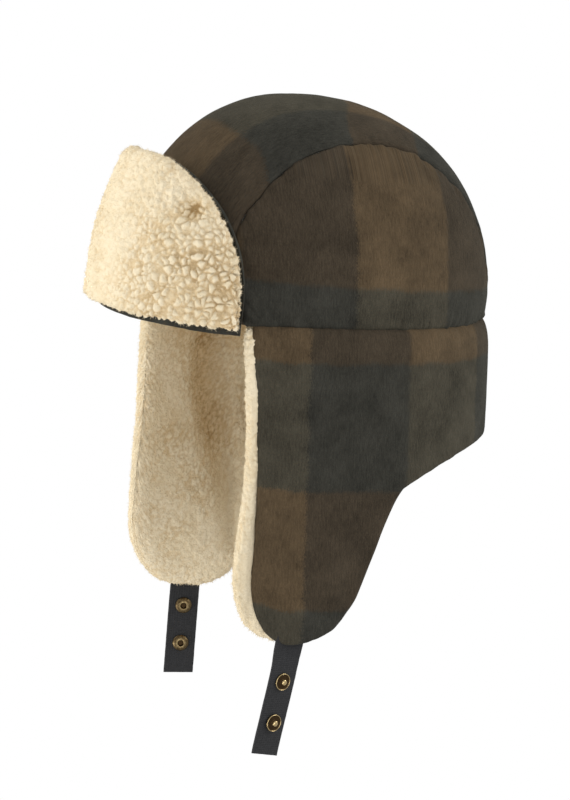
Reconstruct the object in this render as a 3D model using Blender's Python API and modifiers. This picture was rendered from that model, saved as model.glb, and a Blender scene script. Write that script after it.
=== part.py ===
"""Trapper hat: a wool crown of three panels over an interlining and a pile lining, a front brim that folds up,
a neck guard with two ear flaps that fold up, and two webbing chin straps closed by press snaps.

The origin is the centre of the head opening, in the plane of the seam under the crown.
+X is the wearer's left, -Y the wearer's front and +Z is up. Constants are in millimetres and degrees.
"""

import math

import bmesh
import bpy
from mathutils import Matrix, Vector

METRE = 0.001  # one millimetre
GAP = 0.35  # clearance between neighbouring pieces

# Crown: a superellipse in plan whose size falls off as a second superellipse with height
CROWN_HALF_LENGTH = 118.5
CROWN_HALF_WIDTH = 92.0
CROWN_HEIGHT = 130.0
PLAN_POWER = 2.2
RISE_POWER = 2.15
CROWN_BACK_BULGE = 0.10  # how fast the crown moves back with height
CROWN_TOP_FORWARD = 0.139  # how fast its upper half comes forward again
SHELL_THICKNESS = 2.5
INTERLINING_DEPTH = SHELL_THICKNESS + 2 * GAP
INTERLINING_THICKNESS = 2.6
CROWN_LINING_DEPTH = INTERLINING_DEPTH + INTERLINING_THICKNESS + 2 * GAP
WALL_THICKNESS = 12.3

# Centre panel: half its width, from the temples over the top to the nape
TEMPLE_HALF_WIDTH = 76.0
FOREHEAD_HALF_WIDTH = 63.0
TEMPLE_FLARE_END = 38.0
TAPER_START = 48.0
TAPER_PER_DEGREE = 0.155
CROWN_COLUMNS = 16
CROWN_ROWS = 5

# Neck guard and ear flaps: one wall that hangs from the crown seam, measured along the cloth from the centre back
GUARD_STAND_OFF = 4.0
GUARD_BULGE_DROP = 7.0  # the wall leaves the seam and reaches its stand-off over this drop
GUARD_SLANT = 0.055  # how far the wall moves back for each millimetre down
GUARD_COLUMNS = 15
GUARD_ROWS = 5
BACK_DROP = 70.0
FOLD_DROP = 95.0
NOTCH_PLACE = 147.0
SHELL_FRONT = 242.0
LINING_FRONT = 249.5
FLARE_AT_TIP = 4.0
FLAP_TIP_DROP = 188.5
FLAP_ROUND_DROP = 140.0
FLAP_BACK_TAPER = 0.34
FLAP_ROUND_POWER = 2.7
NOTCH_ROUND = 6.0
NOTCH_ROUND_DROP = 12.0
TIP_PLACE = 221.0
FLAP_COLUMNS = 8
FLAP_ROWS = 8
FOLD_CLEARANCE = 0.8

# With no head in it, the right flap hangs a little lower and turns in about its front edge
RIGHT_TURN_IN = 34.0
RIGHT_SHIFT_IN = 9.0
RIGHT_EXTRA_DROP = 4.0
TURN_IN_FROM = 55.0
TURN_IN_PLACES = (40.0, 140.0)

# Brim: a round-topped flap that stands against the front of the crown
BRIM_HEIGHT = 82.0
BRIM_FOOT = -2.0
BRIM_HALF_ANGLE = 52.6
BRIM_OUTLINE_POWER = 2.5
BRIM_STAND_OFF = 3.5
BRIM_TOP_STAND_OFF = 6.0
BACKING_THICKNESS = 2.2
BRIM_INTERLINING_THICKNESS = 2.0
FACING_THICKNESS = 6.0
BRIM_COLUMNS = 18
BRIM_ROWS = 5

# Straps and press snaps
STRAP_WIDTH = 19.0
STRAP_THICKNESS = 2.0
STRAP_END = 20.0  # from the lower snap to the strap's free end
SNAP_SPACING = 25.0
LEFT_STRAP_LENGTH = 66.0
RIGHT_STRAP_LENGTH = 58.0
LEFT_STRAP_LEAN = 9.5  # degrees forward of plumb
LEFT_STRAP_FACING = 11.0  # degrees that its outer face turns back from straight out
RIGHT_STRAP_FACING = 20.0
STRAP_PLACE = 219.0
STRAP_DROP = 1.8  # below the flap's tip
STRAP_INSET = 3.0  # from the outer face of the flap
SNAP_RADIUS = 5.25
SNAP_HOLE_RADIUS = 2.6
BARREL_RADIUS = 2.1
BRIM_SNAP_TURN = 33  # degrees each side of the front
BRIM_SNAP_HEIGHT = 58.5

COLLECTION = "trapper_hat"


def clear_scene():
    for old in list(bpy.data.objects):
        bpy.data.objects.remove(old)


def new_collection(name):
    made = bpy.data.collections.new(name)
    bpy.context.scene.collection.children.link(made)
    return made


def material(name, colour, roughness, metallic=0.0):
    made = bpy.data.materials.new(name)
    made.use_nodes = True
    shader = made.node_tree.nodes["Principled BSDF"]
    shader.inputs["Base Color"].default_value = (*colour, 1.0)
    shader.inputs["Roughness"].default_value = roughness
    shader.inputs["Metallic"].default_value = metallic
    return made


def signed_power(value, power):
    return math.copysign(abs(value) ** power, value)


def smooth_step(value):
    value = min(1.0, max(0.0, value))
    return value * value * (3 - 2 * value)


# ---------------------------------------------------------------- crown


def crown_lean(height):
    return CROWN_BACK_BULGE * height - CROWN_TOP_FORWARD * height * height / CROWN_HEIGHT


def crown_point(turn, rise, depth):
    """A point of the crown, `depth` inside its outer face. Turn 0 is the left side and +90 degrees the back;
    rise is 0 at the seam and 90 degrees at the top. Both are in radians."""
    share = max(0.0, math.cos(rise)) ** (2 / RISE_POWER)
    height = (CROWN_HEIGHT - depth) * max(0.0, math.sin(rise)) ** (2 / RISE_POWER)
    across = signed_power(math.cos(turn), 2 / PLAN_POWER)
    along = signed_power(math.sin(turn), 2 / PLAN_POWER)
    x = (CROWN_HALF_WIDTH - depth) * share * across
    y = (CROWN_HALF_LENGTH - depth) * share * along + crown_lean(height)
    return Vector((x, y, height))


def crown_reach(side, path):
    """How far out the crown lies, as a share of its size, at `side` (x over half width) and along the
    direction `path` that goes from the front, over the top, to the back. Found by halving."""
    low, high = 0.0, 1.2
    for _ in range(50):
        middle = (low + high) / 2
        plan = abs(side) ** PLAN_POWER + (middle * abs(math.cos(path))) ** PLAN_POWER
        total = plan ** (RISE_POWER / PLAN_POWER) + (middle * math.sin(path)) ** RISE_POWER
        if total > 1:
            high = middle
        else:
            low = middle
    return (low + high) / 2


def centre_half_width(path):
    """Half the centre panel's width at `path` degrees from the front, over the top."""
    flare = (TEMPLE_HALF_WIDTH - FOREHEAD_HALF_WIDTH) * (1 - smooth_step(path / TEMPLE_FLARE_END))
    taper = TAPER_PER_DEGREE * max(0.0, path - TAPER_START)
    return FOREHEAD_HALF_WIDTH + flare - taper


def centre_panel_point(along, across, depth):
    path = 180 * along
    side = (centre_half_width(path) - GAP) / CROWN_HALF_WIDTH * (1 - 2 * across)
    reach = crown_reach(side, math.radians(path))
    height = (CROWN_HEIGHT - depth) * reach * math.sin(math.radians(path))
    x = (CROWN_HALF_WIDTH - depth) * side
    y = -(CROWN_HALF_LENGTH - depth) * reach * math.cos(math.radians(path)) + crown_lean(height)
    return Vector((x, y, height + GAP))


def seam_angles(along):
    """Turn and rise of the seam between the centre and the left panel."""
    path = 180 * along
    side = (centre_half_width(path) + GAP) / CROWN_HALF_WIDTH
    reach = crown_reach(side, math.radians(path))
    level = max(0.0, min(1.0, reach * math.sin(math.radians(path))))
    rise = math.asin(level ** (RISE_POWER / 2))
    share = math.cos(rise) ** (2 / RISE_POWER)
    turn = math.acos(min(1.0, side / share) ** (PLAN_POWER / 2))
    return (turn if path > 90 else -turn), rise


def side_panel_point(along, across, depth):
    """The left panel: from the crown's lower edge (across 0) up to the seam (across 1)."""
    seam_turn, seam_rise = seam_angles(along)
    front, _ = seam_angles(0.0)
    back, _ = seam_angles(1.0)
    edge_turn = front + (back - front) * along
    turn = edge_turn + (seam_turn - edge_turn) * across
    return crown_point(turn, seam_rise * across, depth) + Vector((0, 0, GAP))


# ---------------------------------------------------------------- neck guard and ear flaps


def guard_plan(turn, stand_off):
    x = (CROWN_HALF_WIDTH + stand_off) * signed_power(math.cos(turn), 2 / PLAN_POWER)
    y = (CROWN_HALF_LENGTH + stand_off) * signed_power(math.sin(turn), 2 / PLAN_POWER)
    return Vector((x, y, 0))


def arc_table(steps=720):
    """Length along the cloth from the centre back to each turn, on the left half."""
    turns = [math.radians(90 - 180 * i / steps) for i in range(steps + 1)]
    places = [0.0]
    for first, second in zip(turns, turns[1:]):
        step = guard_plan(second, GUARD_STAND_OFF) - guard_plan(first, GUARD_STAND_OFF)
        places.append(places[-1] + step.length)
    return turns, places


ARC_TURNS, ARC_PLACES = arc_table()


def turn_at(place):
    """The turn where the cloth is `place` millimetres from the centre back."""
    for i in range(1, len(ARC_PLACES)):
        if ARC_PLACES[i] >= place:
            share = (place - ARC_PLACES[i - 1]) / (ARC_PLACES[i] - ARC_PLACES[i - 1])
            return ARC_TURNS[i - 1] + share * (ARC_TURNS[i] - ARC_TURNS[i - 1])
    return ARC_TURNS[-1]


def guard_point(place, drop, depth, side):
    """A point of one half of the hanging wall, `drop` below the seam and `depth` inside its outer face.
    Both halves are laid out on the left, and the right one is mirrored when it is built."""
    stand_off = GUARD_STAND_OFF * (1 - math.exp(-drop / GUARD_BULGE_DROP))
    slant = Vector((0, GUARD_SLANT * drop, -drop))
    point = guard_plan(turn_at(place), stand_off - depth) + slant
    if side == "left":
        return point
    first, last = TURN_IN_PLACES
    share = smooth_step((drop - TURN_IN_FROM) / (FLAP_TIP_DROP - TURN_IN_FROM))
    share *= smooth_step((place - first) / (last - first))
    front_edge = guard_plan(turn_at(LINING_FRONT), stand_off) + slant
    turned_in = Matrix.Rotation(math.radians(RIGHT_TURN_IN) * share, 3, "Z") @ (point - front_edge)
    moved = Vector((-RIGHT_SHIFT_IN * share, 0, -RIGHT_EXTRA_DROP * share))
    return front_edge + turned_in + moved


def hem_drop(place):
    """The neck guard's lower edge: level at the back and down to the fold where the flap starts."""
    share = min(1.0, place / NOTCH_PLACE)
    return BACK_DROP + (FOLD_DROP - BACK_DROP) * share**3


def front_place(base, drop):
    return base + FLARE_AT_TIP * smooth_step((drop - 80) / 80)


def flap_edges(drop, front_base):
    """Where the flap's back and front edges are at this drop."""
    below = drop - FOLD_DROP
    back = NOTCH_PLACE + FLAP_BACK_TAPER * below
    back += NOTCH_ROUND * (1 - math.exp(-below / NOTCH_ROUND_DROP))
    front = front_place(front_base, drop)
    rounding = max(0.0, (drop - FLAP_ROUND_DROP) / (FLAP_TIP_DROP - FLAP_ROUND_DROP))
    keep = max(0.0, 1 - min(1.0, rounding) ** FLAP_ROUND_POWER) ** (1 / FLAP_ROUND_POWER)
    return TIP_PLACE + (back - TIP_PLACE) * keep, TIP_PLACE + (front - TIP_PLACE) * keep


def guard_panel_point(along, across, depth, front_base, side):
    """The wall above the fold: along 0 is the centre back and 1 the front edge; across 0 is the seam."""
    place = GAP + (front_place(front_base, 0) - GAP) * along
    drop = GAP + (hem_drop(place) - 2 * GAP) * across
    return guard_point(place, drop, depth, side)


def flap_panel_point(along, across, depth, front_base, side):
    """The flap below the fold: along runs from its back to its front edge, across from the fold to the tip."""
    level = math.sin(math.pi / 2 * across)
    drop = FOLD_DROP + GAP + (FLAP_TIP_DROP - FOLD_DROP - GAP) * level
    back, front = flap_edges(drop, front_base)
    return guard_point(back + (front - back) * along, drop, depth, side)


# ---------------------------------------------------------------- brim


def brim_point(along, across, stand_off):
    """The brim standing up: along runs from the left temple to the right, across from its foot to its edge."""
    swing = math.pi * (along - 0.5)
    share = signed_power(math.sin(swing), 2 / BRIM_OUTLINE_POWER)
    outline = max(0.0, math.cos(swing)) ** (2 / BRIM_OUTLINE_POWER)
    turn = math.radians(-90 - BRIM_HALF_ANGLE * share)
    height = BRIM_FOOT + (BRIM_HEIGHT - BRIM_FOOT) * outline * across
    on_crown = max(0.0, height)
    rise = math.asin((on_crown / CROWN_HEIGHT) ** (RISE_POWER / 2))
    middle = 1 - share * share
    off = stand_off + BRIM_TOP_STAND_OFF * middle * on_crown / BRIM_HEIGHT
    foot = Vector((0, 0, min(0.0, height)))
    return crown_point(turn, rise, 0.0) + off * crown_outward(turn, rise) + foot


def crown_outward(turn, rise):
    """The crown's outward direction, square to its surface."""
    step = 1e-4
    here = crown_point(turn, rise, 0.0)
    round_it = crown_point(turn + step, rise, 0.0) - here
    up_it = crown_point(turn, rise + step, 0.0) - here
    return round_it.cross(up_it).normalized()


# ---------------------------------------------------------------- building blocks


def wall(name, point_at, columns, rows, depths, look, mirrored=False):
    """A curved wall between two depths: a flat gridded slab, bent so that its faces lie where
    point_at(along, across, depth) says."""
    cage = bmesh.new()
    bmesh.ops.create_grid(cage, x_segments=columns, y_segments=rows, size=0.5)
    bmesh.ops.solidify(cage, geom=cage.faces[:], thickness=1.0)
    outer, inner = depths
    side = -1 if mirrored else 1
    for vertex in cage.verts:
        depth = outer + (inner - outer) * abs(vertex.co.z)
        point = point_at(vertex.co.x + 0.5, vertex.co.y + 0.5, depth)
        vertex.co = Vector((side * point.x, point.y, point.z)) * METRE
    bmesh.ops.remove_doubles(cage, verts=cage.verts, dist=1e-5)
    bmesh.ops.recalc_face_normals(cage, faces=cage.faces)
    mesh = bpy.data.meshes.new(name)
    cage.to_mesh(mesh)
    cage.free()
    mesh.shade_smooth()
    mesh.set_sharp_from_angle(angle=math.radians(40))
    made = bpy.data.objects.new(name, mesh)
    parts.objects.link(made)
    made.data.materials.append(look)
    return made


def turned(name, profile, look):
    """A round piece about its own Z: (radius, height) from the axis at the top, down the outside, to the axis."""
    mesh = bpy.data.meshes.new(name)
    points = [(radius * METRE, 0, height * METRE) for radius, height in profile]
    mesh.from_pydata(points, [(i, i + 1) for i in range(len(points) - 1)], [])
    made = bpy.data.objects.new(name, mesh)
    parts.objects.link(made)
    made.data.materials.append(look)
    screw = made.modifiers.new("Screw", "SCREW")
    screw.steps = screw.render_steps = 16
    screw.use_merge_vertices = True
    screw.merge_threshold = 0.00001
    screw.use_normal_calculate = False
    return made


def facing(outward, upward=Vector((0, 0, 1))):
    """A rotation whose +Z is `outward` and whose +Y is as near `upward` as it can be."""
    z_axis = outward.normalized()
    x_axis = upward.cross(z_axis).normalized()
    y_axis = z_axis.cross(x_axis)
    return Matrix((x_axis, y_axis, z_axis)).transposed()


def place(made, centre, rotation, parent=None):
    made.matrix_world = Matrix.Translation(centre * METRE) @ rotation.to_4x4()
    if parent is not None:
        bpy.context.view_layer.update()
        made.parent = parent
        made.matrix_parent_inverse = parent.matrix_world.inverted()
    return made


def pivot(name, centre, rotation, parent=None):
    """An empty on a joint's axis; its +X lies along the axis."""
    made = bpy.data.objects.new(name, None)
    made.empty_display_size = 0.02
    parts.objects.link(made)
    return place(made, centre, rotation, parent)


def hang_on(parent, pieces):
    bpy.context.view_layer.update()
    for piece in pieces:
        piece.parent = parent
        piece.matrix_parent_inverse = parent.matrix_world.inverted()


def cut(target, cutter):
    modifier = target.modifiers.new("Boolean", "BOOLEAN")
    modifier.operation = "DIFFERENCE"
    modifier.object = cutter


# ---------------------------------------------------------------- sub-parts


def make_crown(wool, batting, pile):
    layers = (
        ("shell", (0.0, SHELL_THICKNESS), wool),
        ("interlining", (INTERLINING_DEPTH, INTERLINING_DEPTH + INTERLINING_THICKNESS), batting),
        ("lining", (CROWN_LINING_DEPTH, WALL_THICKNESS), pile),
    )
    for layer, depths, look in layers:
        size = (CROWN_COLUMNS, CROWN_ROWS, depths, look)
        wall(f"crown_{layer}_centre", centre_panel_point, *size)
        wall(f"crown_{layer}_left", side_panel_point, *size)
        wall(f"crown_{layer}_right", side_panel_point, *size, mirrored=True)


def make_guard_and_flaps(wool, pile):
    """The wall under the crown. Each side's cloth is one piece, split here at the line where the flap folds."""
    flaps = {"left": [], "right": []}
    layers = (
        ("shell", (0.0, SHELL_THICKNESS), SHELL_FRONT, wool),
        ("lining", (SHELL_THICKNESS + 2 * GAP, WALL_THICKNESS), LINING_FRONT, pile),
    )
    for layer, depths, front, look in layers:
        for side in ("left", "right"):

            def guard_at(along, across, depth, front=front, side=side):
                return guard_panel_point(along, across, depth, front, side)

            def flap_at(along, across, depth, front=front, side=side):
                return flap_panel_point(along, across, depth, front, side)

            mirrored = side == "right"
            name = f"neck_guard_{layer}_{side}"
            wall(name, guard_at, GUARD_COLUMNS, GUARD_ROWS, depths, look, mirrored)
            name = f"earflap_{layer}_{side}"
            flaps[side].append(wall(name, flap_at, FLAP_COLUMNS, FLAP_ROWS, depths, look, mirrored))
    return flaps


def make_brim(wool, batting, pile):
    """Three layers that stand in front of the crown, on a hinge line across the front of the seam."""
    interlining_at = BRIM_STAND_OFF + BACKING_THICKNESS + 2 * GAP
    facing_at = interlining_at + BRIM_INTERLINING_THICKNESS + 2 * GAP
    layers = (
        ("brim_backing", (BRIM_STAND_OFF, BRIM_STAND_OFF + BACKING_THICKNESS), wool),
        ("brim_interlining", (interlining_at, interlining_at + BRIM_INTERLINING_THICKNESS), batting),
        ("brim_facing", (facing_at, facing_at + FACING_THICKNESS), pile),
    )
    return [wall(name, brim_point, BRIM_COLUMNS, BRIM_ROWS, offs, look) for name, offs, look in layers]


def snap_stud(name, look):
    """The half with the ball, resting on the face of the cloth at its own Z 0."""
    base = GAP
    profile = [
        (0.0, base + 3.0),
        (1.6, base + 2.7),
        (2.15, base + 2.0),
        (1.7, base + 1.1),
        (3.9, base + 0.6),
        (4.6, base + 1.0),
        (SNAP_RADIUS, base + 0.6),
        (SNAP_RADIUS, base),
        (0.0, base),
    ]
    return turned(name, profile, look)


def snap_socket(name, look):
    """The half with the hole: a domed ring round a blind hole that takes the ball."""
    base = GAP
    profile = [
        (0.0, base + 0.4),
        (2.3, base + 0.4),
        (2.3, base + 2.2),
        (3.2, base + 2.5),
        (SNAP_RADIUS - 0.4, base + 1.7),
        (SNAP_RADIUS, base + 0.9),
        (SNAP_RADIUS, base),
        (0.0, base),
    ]
    return turned(name, profile, look)


def snap_back(name, dome, look):
    """The cap on the other face, with the barrel that goes through the strap."""
    base = GAP
    profile = [
        (0.0, base + dome),
        (SNAP_RADIUS * 0.6, base + dome * 0.8),
        (SNAP_RADIUS, base + dome * 0.3),
        (SNAP_RADIUS, base),
        (BARREL_RADIUS, base),
        (BARREL_RADIUS, -STRAP_THICKNESS),
        (0.0, -STRAP_THICKNESS),
    ]
    return turned(name, profile, look)


def strap_frame(side, lean, turned_back):
    """Top centre of the strap, its outward direction and its downward direction."""
    sign = 1 if side == "left" else -1
    tip = guard_point(STRAP_PLACE, FLAP_TIP_DROP, STRAP_INSET, side)
    top = Vector((sign * tip.x, tip.y, tip.z - STRAP_DROP))
    facing_back, lean = math.radians(turned_back), math.radians(lean)
    outward = Vector((sign * math.cos(facing_back), math.sin(facing_back), 0))
    forward = Vector((sign * math.sin(facing_back), -math.cos(facing_back), 0))
    return top, outward, forward * math.sin(lean) + Vector((0, 0, -math.cos(lean)))


def make_strap(side, length, lean, turned_back, webbing, brass, flap_pivot):
    top, outward, down = strap_frame(side, lean, turned_back)
    hinge = pivot(f"chin_strap_{side}_hinge", top, facing(outward, -down), flap_pivot)

    bpy.ops.mesh.primitive_cube_add(size=1)
    strap = bpy.context.object
    strap.name = strap.data.name = f"chin_strap_{side}"
    for vertex in strap.data.vertices:
        x, y, z = vertex.co
        vertex.co = (x * STRAP_WIDTH * METRE, y * length * METRE, z * STRAP_THICKNESS * METRE)
    strap.users_collection[0].objects.unlink(strap)
    parts.objects.link(strap)
    strap.data.materials.append(webbing)
    place(strap, top + down * (length / 2), facing(outward, -down), hinge)

    # The studs face out and the sockets face the wearer, so that the left strap closes over the right one
    if side == "left":
        shown_face, shown_name, hidden_name, make_shown, dome = outward, "stud", "post", snap_stud, 1.1
    else:
        shown_face, shown_name, hidden_name, make_shown, dome = -outward, "socket", "cap", snap_socket, 2.2
    for level, from_end in (("upper", STRAP_END + SNAP_SPACING), ("lower", STRAP_END)):
        centre = top + down * (length - from_end)
        cut(strap, snap_hole(f"hole_{side}_{level}", centre, facing(outward, -down)))
        face = shown_face * (STRAP_THICKNESS / 2)
        shown = make_shown(f"snap_{shown_name}_{side}_{level}", brass)
        place(shown, centre + face, facing(shown_face, -down), hinge)
        hidden = snap_back(f"snap_{hidden_name}_{side}_{level}", dome, brass)
        place(hidden, centre - face, facing(-shown_face, -down), hinge)


def snap_hole(name, centre, rotation):
    cage = bmesh.new()
    depth = 3 * STRAP_THICKNESS * METRE
    radius = SNAP_HOLE_RADIUS * METRE
    bmesh.ops.create_cone(cage, cap_ends=True, segments=16, radius1=radius, radius2=radius, depth=depth)
    mesh = bpy.data.meshes.new(name)
    cage.to_mesh(mesh)
    cage.free()
    made = bpy.data.objects.new(name, mesh)
    cutters.objects.link(made)
    made.hide_render = True
    made.display_type = "WIRE"
    return place(made, centre, rotation)


def make_brim_snaps(brass):
    """Two press snaps that hold the brim up: studs on the crown, sockets on the brim's backing."""
    sockets = []
    rise = math.asin((BRIM_SNAP_HEIGHT / CROWN_HEIGHT) ** (RISE_POWER / 2))
    for side_name, side in (("left", 1), ("right", -1)):
        turn = math.radians(-90 + side * BRIM_SNAP_TURN)
        outward = crown_outward(turn, rise)
        surface = crown_point(turn, rise, 0.0)
        stud_profile = [(0.0, 1.9), (1.8, 1.9), (1.8, 1.3), (SNAP_RADIUS, 1.3), (SNAP_RADIUS, 0.5), (0.0, 0.5)]
        stud = turned(f"brim_snap_stud_{side_name}", stud_profile, brass)
        place(stud, surface, facing(outward))
        socket_profile = [(2.2, 3.0), (SNAP_RADIUS, 3.0), (SNAP_RADIUS, 1.7), (2.2, 1.7), (2.2, 3.0)]
        socket = turned(f"brim_snap_socket_{side_name}", socket_profile, brass)
        sockets.append(place(socket, surface, facing(outward)))
    return sockets


def fold_axis(side):
    """A point on a flap's fold axis and its direction, from front to back, outside the cloth all along."""
    sign = 1 if side == "left" else -1
    steps = 40
    first, last = front_place(LINING_FRONT, 0), NOTCH_PLACE
    places = [first + (last - first) * i / steps for i in range(steps + 1)]
    line = [guard_point(spot, FOLD_DROP, 0.0, side) for spot in places]
    along = line[-1] - line[0]
    along.z = 0
    along.normalize()
    outward = along.cross(Vector((0, 0, 1)))
    reach = max((point - line[0]).dot(outward) for point in line)
    middle = (line[0] + line[-1]) / 2 + outward * (reach + FOLD_CLEARANCE)
    return Vector((sign * middle.x, middle.y, middle.z)), Vector((sign * along.x, along.y, 0))


def main():
    wool = material("brown_plaid_wool", (0.060, 0.045, 0.030), 0.95)
    pile = material("cream_sherpa", (0.72, 0.60, 0.43), 1.0)
    batting = material("interlining", (0.55, 0.55, 0.52), 0.9)
    webbing = material("black_webbing", (0.015, 0.015, 0.020), 0.8)
    brass = material("antique_brass", (0.42, 0.31, 0.15), 0.35, 1.0)

    make_crown(wool, batting, pile)
    flaps = make_guard_and_flaps(wool, pile)
    brim_axis = Vector((0, -(CROWN_HALF_LENGTH + BRIM_STAND_OFF), 0))
    brim_hinge = pivot("brim_hinge", brim_axis, Matrix.Identity(3))
    hang_on(brim_hinge, make_brim(wool, batting, pile) + make_brim_snaps(brass))

    straps = (
        ("left", LEFT_STRAP_LENGTH, LEFT_STRAP_LEAN, LEFT_STRAP_FACING),
        ("right", RIGHT_STRAP_LENGTH, 0.0, RIGHT_STRAP_FACING),
    )
    for side, length, lean, turned_back in straps:
        centre, axis = fold_axis(side)
        upward = Vector((0, 0, 1))
        rotation = Matrix((axis, upward.cross(axis), upward)).transposed()
        flap_hinge = pivot(f"earflap_{side}_hinge", centre, rotation)
        hang_on(flap_hinge, flaps[side])
        make_strap(side, length, lean, turned_back, webbing, brass, flap_hinge)


clear_scene()
parts = new_collection(COLLECTION)
cutters = new_collection("cutters")
main()
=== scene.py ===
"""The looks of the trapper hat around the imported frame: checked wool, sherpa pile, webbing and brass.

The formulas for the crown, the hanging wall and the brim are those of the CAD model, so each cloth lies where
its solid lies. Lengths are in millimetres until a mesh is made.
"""

import math

import bpy
import numpy as np
from mathutils import Matrix, Vector, kdtree


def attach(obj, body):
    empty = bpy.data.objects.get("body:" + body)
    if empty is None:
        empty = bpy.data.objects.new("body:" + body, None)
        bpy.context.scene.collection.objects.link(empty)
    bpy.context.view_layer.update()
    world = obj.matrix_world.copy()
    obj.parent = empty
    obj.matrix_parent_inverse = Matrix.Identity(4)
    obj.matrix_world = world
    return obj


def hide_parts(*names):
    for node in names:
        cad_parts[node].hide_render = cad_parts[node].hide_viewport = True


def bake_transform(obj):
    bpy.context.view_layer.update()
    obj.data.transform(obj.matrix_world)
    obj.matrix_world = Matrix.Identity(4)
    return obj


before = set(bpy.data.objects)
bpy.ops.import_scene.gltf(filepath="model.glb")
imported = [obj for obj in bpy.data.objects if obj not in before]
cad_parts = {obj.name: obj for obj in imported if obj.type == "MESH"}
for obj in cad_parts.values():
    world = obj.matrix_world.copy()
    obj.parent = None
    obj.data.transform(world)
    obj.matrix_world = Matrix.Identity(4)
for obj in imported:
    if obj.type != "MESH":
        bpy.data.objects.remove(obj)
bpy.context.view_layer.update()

METRE = 0.001

# Crown
CROWN_HALF_LENGTH = 118.5
CROWN_HALF_WIDTH = 92.0
CROWN_HEIGHT = 130.0
PLAN_POWER = 2.2
RISE_POWER = 2.15
CROWN_BACK_BULGE = 0.10
CROWN_TOP_FORWARD = 0.139
TEMPLE_HALF_WIDTH = 76.0
FOREHEAD_HALF_WIDTH = 63.0
TEMPLE_FLARE_END = 38.0
TAPER_START = 48.0
TAPER_PER_DEGREE = 0.155
WOOL_OFFS = (-2.4, 0.0)
CROWN_LINING_DEPTH = 6.5
WALL_THICKNESS = 12.3
WALL_PILE_BACK = -2.95

# Hanging wall: neck guard and ear flaps
GUARD_STAND_OFF = 4.0
GUARD_BULGE_DROP = 7.0
GUARD_SLANT = 0.055
BACK_DROP = 70.0
FOLD_DROP = 95.0
NOTCH_PLACE = 147.0
SHELL_FRONT = 242.0
LINING_FRONT = 249.5
FLARE_AT_TIP = 4.0
FLAP_TIP_DROP = 188.5
FLAP_ROUND_DROP = 140.0
FLAP_BACK_TAPER = 0.34
FLAP_ROUND_POWER = 2.7
NOTCH_ROUND = 6.0
NOTCH_ROUND_DROP = 12.0
TIP_PLACE = 221.0
RIGHT_TURN_IN = 34.0
RIGHT_SHIFT_IN = 9.0
RIGHT_EXTRA_DROP = 4.0
TURN_IN_FROM = 55.0
TURN_IN_PLACES = (40.0, 140.0)

# Brim
BRIM_HEIGHT = 82.0
BRIM_FOOT = -2.0
BRIM_HALF_ANGLE = 52.6
BRIM_OUTLINE_POWER = 2.5
BRIM_TOP_STAND_OFF = 6.0
BRIM_SNAP_TURN = 33.0
BRIM_SNAP_HEIGHT = 58.5
BACKING_OFFS = (3.5, 5.7)
BRIM_INTERLINING_OFFS = (6.4, 8.4)
FACING_OFFS = (9.1, 15.1)

# Straps and snaps
STRAP_WIDTH = 19.0
STRAP_THICKNESS = 1.9
STRAP_END = 20.0
SNAP_SPACING = 25.0
STRAP_LENGTH = {"left": 66.0, "right": 58.0}
STRAP_LEAN = {"left": 9.5, "right": 0.0}
STRAP_FACING = {"left": 11.0, "right": 20.0}
STRAP_PLACE = 219.0
STRAP_DROP = 1.8
STRAP_INSET = 3.0
SNAP_RADIUS = 5.25

# Plaid: widths of the light and dark columns and of the brown and green rows
COLUMN = 66.0
ROW = 74.0


# ---- numbers


def signed_power(value, power):
    return np.sign(value) * np.abs(value) ** power


def smooth(value):
    value = np.clip(value, 0.0, 1.0)
    return value * value * (3 - 2 * value)


def bump(value):
    """1 at zero, falling smoothly to 0 at a distance of 1."""
    return 1 - smooth(np.abs(value))


def vec(x, y, z):
    return np.stack(np.broadcast_arrays(x, y, z), axis=-1).astype(float)


def dice(cells, seed):
    """A number from 0 to 1 for each whole-number cell."""
    mixed = cells[..., 0] * 73856093 ^ cells[..., 1] * 19349663 ^ cells[..., 2] * 83492791
    mixed = (mixed + seed * 2654435761) & 0x7FFFFFFF
    mixed = ((mixed ^ (mixed >> 13)) * 1274126177) & 0x7FFFFFFF
    mixed = ((mixed ^ (mixed >> 15)) * 1103515245) & 0x7FFFFFFF
    return ((mixed ^ (mixed >> 12)) & 0xFFFFF) / 0xFFFFF


def clouds(points, size, seed=0):
    """Smooth noise from -1 to 1 whose lumps are about `size` across."""
    scaled = np.asarray(points) / size + 100.0
    base = np.floor(scaled).astype(np.int64)
    part = scaled - base
    part = part * part * (3 - 2 * part)
    total = 0.0
    for corner in np.ndindex(2, 2, 2):
        weight = 1.0
        for axis, bit in enumerate(corner):
            weight = weight * (part[..., axis] if bit else 1 - part[..., axis])
        total = total + weight * dice(base + np.array(corner), seed)
    return 2 * total - 1


def curls(points, size, seed=0):
    """Distances to the nearest two of scattered points `size` apart, in units of size."""
    scaled = np.asarray(points) / size + 100.0
    base = np.floor(scaled).astype(np.int64)
    nearest = np.full(scaled.shape[:-1], 9.0)
    second = nearest.copy()
    for offset in np.ndindex(3, 3, 3):
        cell = base + np.array(offset) - 1
        centre = cell + np.stack([dice(cell, seed + axis) for axis in range(3)], axis=-1)
        gap = np.linalg.norm(centre - scaled, axis=-1)
        second = np.minimum(second, np.maximum(nearest, gap))
        nearest = np.minimum(nearest, gap)
    return nearest, second


def stations(length, step, reach):
    """Places along `length` as shares of it, `step` apart and closer within `reach` of either end."""
    count = max(6, round(1.6 * reach))
    ends = reach * (1 - np.cos(np.linspace(0, math.pi / 2, count + 1)))
    inner = np.linspace(reach, length - reach, max(2, round((length - 2 * reach) / step)) + 1)
    return np.concatenate([ends[:-1], inner, (length - ends[:-1])[::-1]]) / length


# ---- the CAD model's surfaces


def crown_lean(height):
    return CROWN_BACK_BULGE * height - CROWN_TOP_FORWARD * height * height / CROWN_HEIGHT


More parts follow.
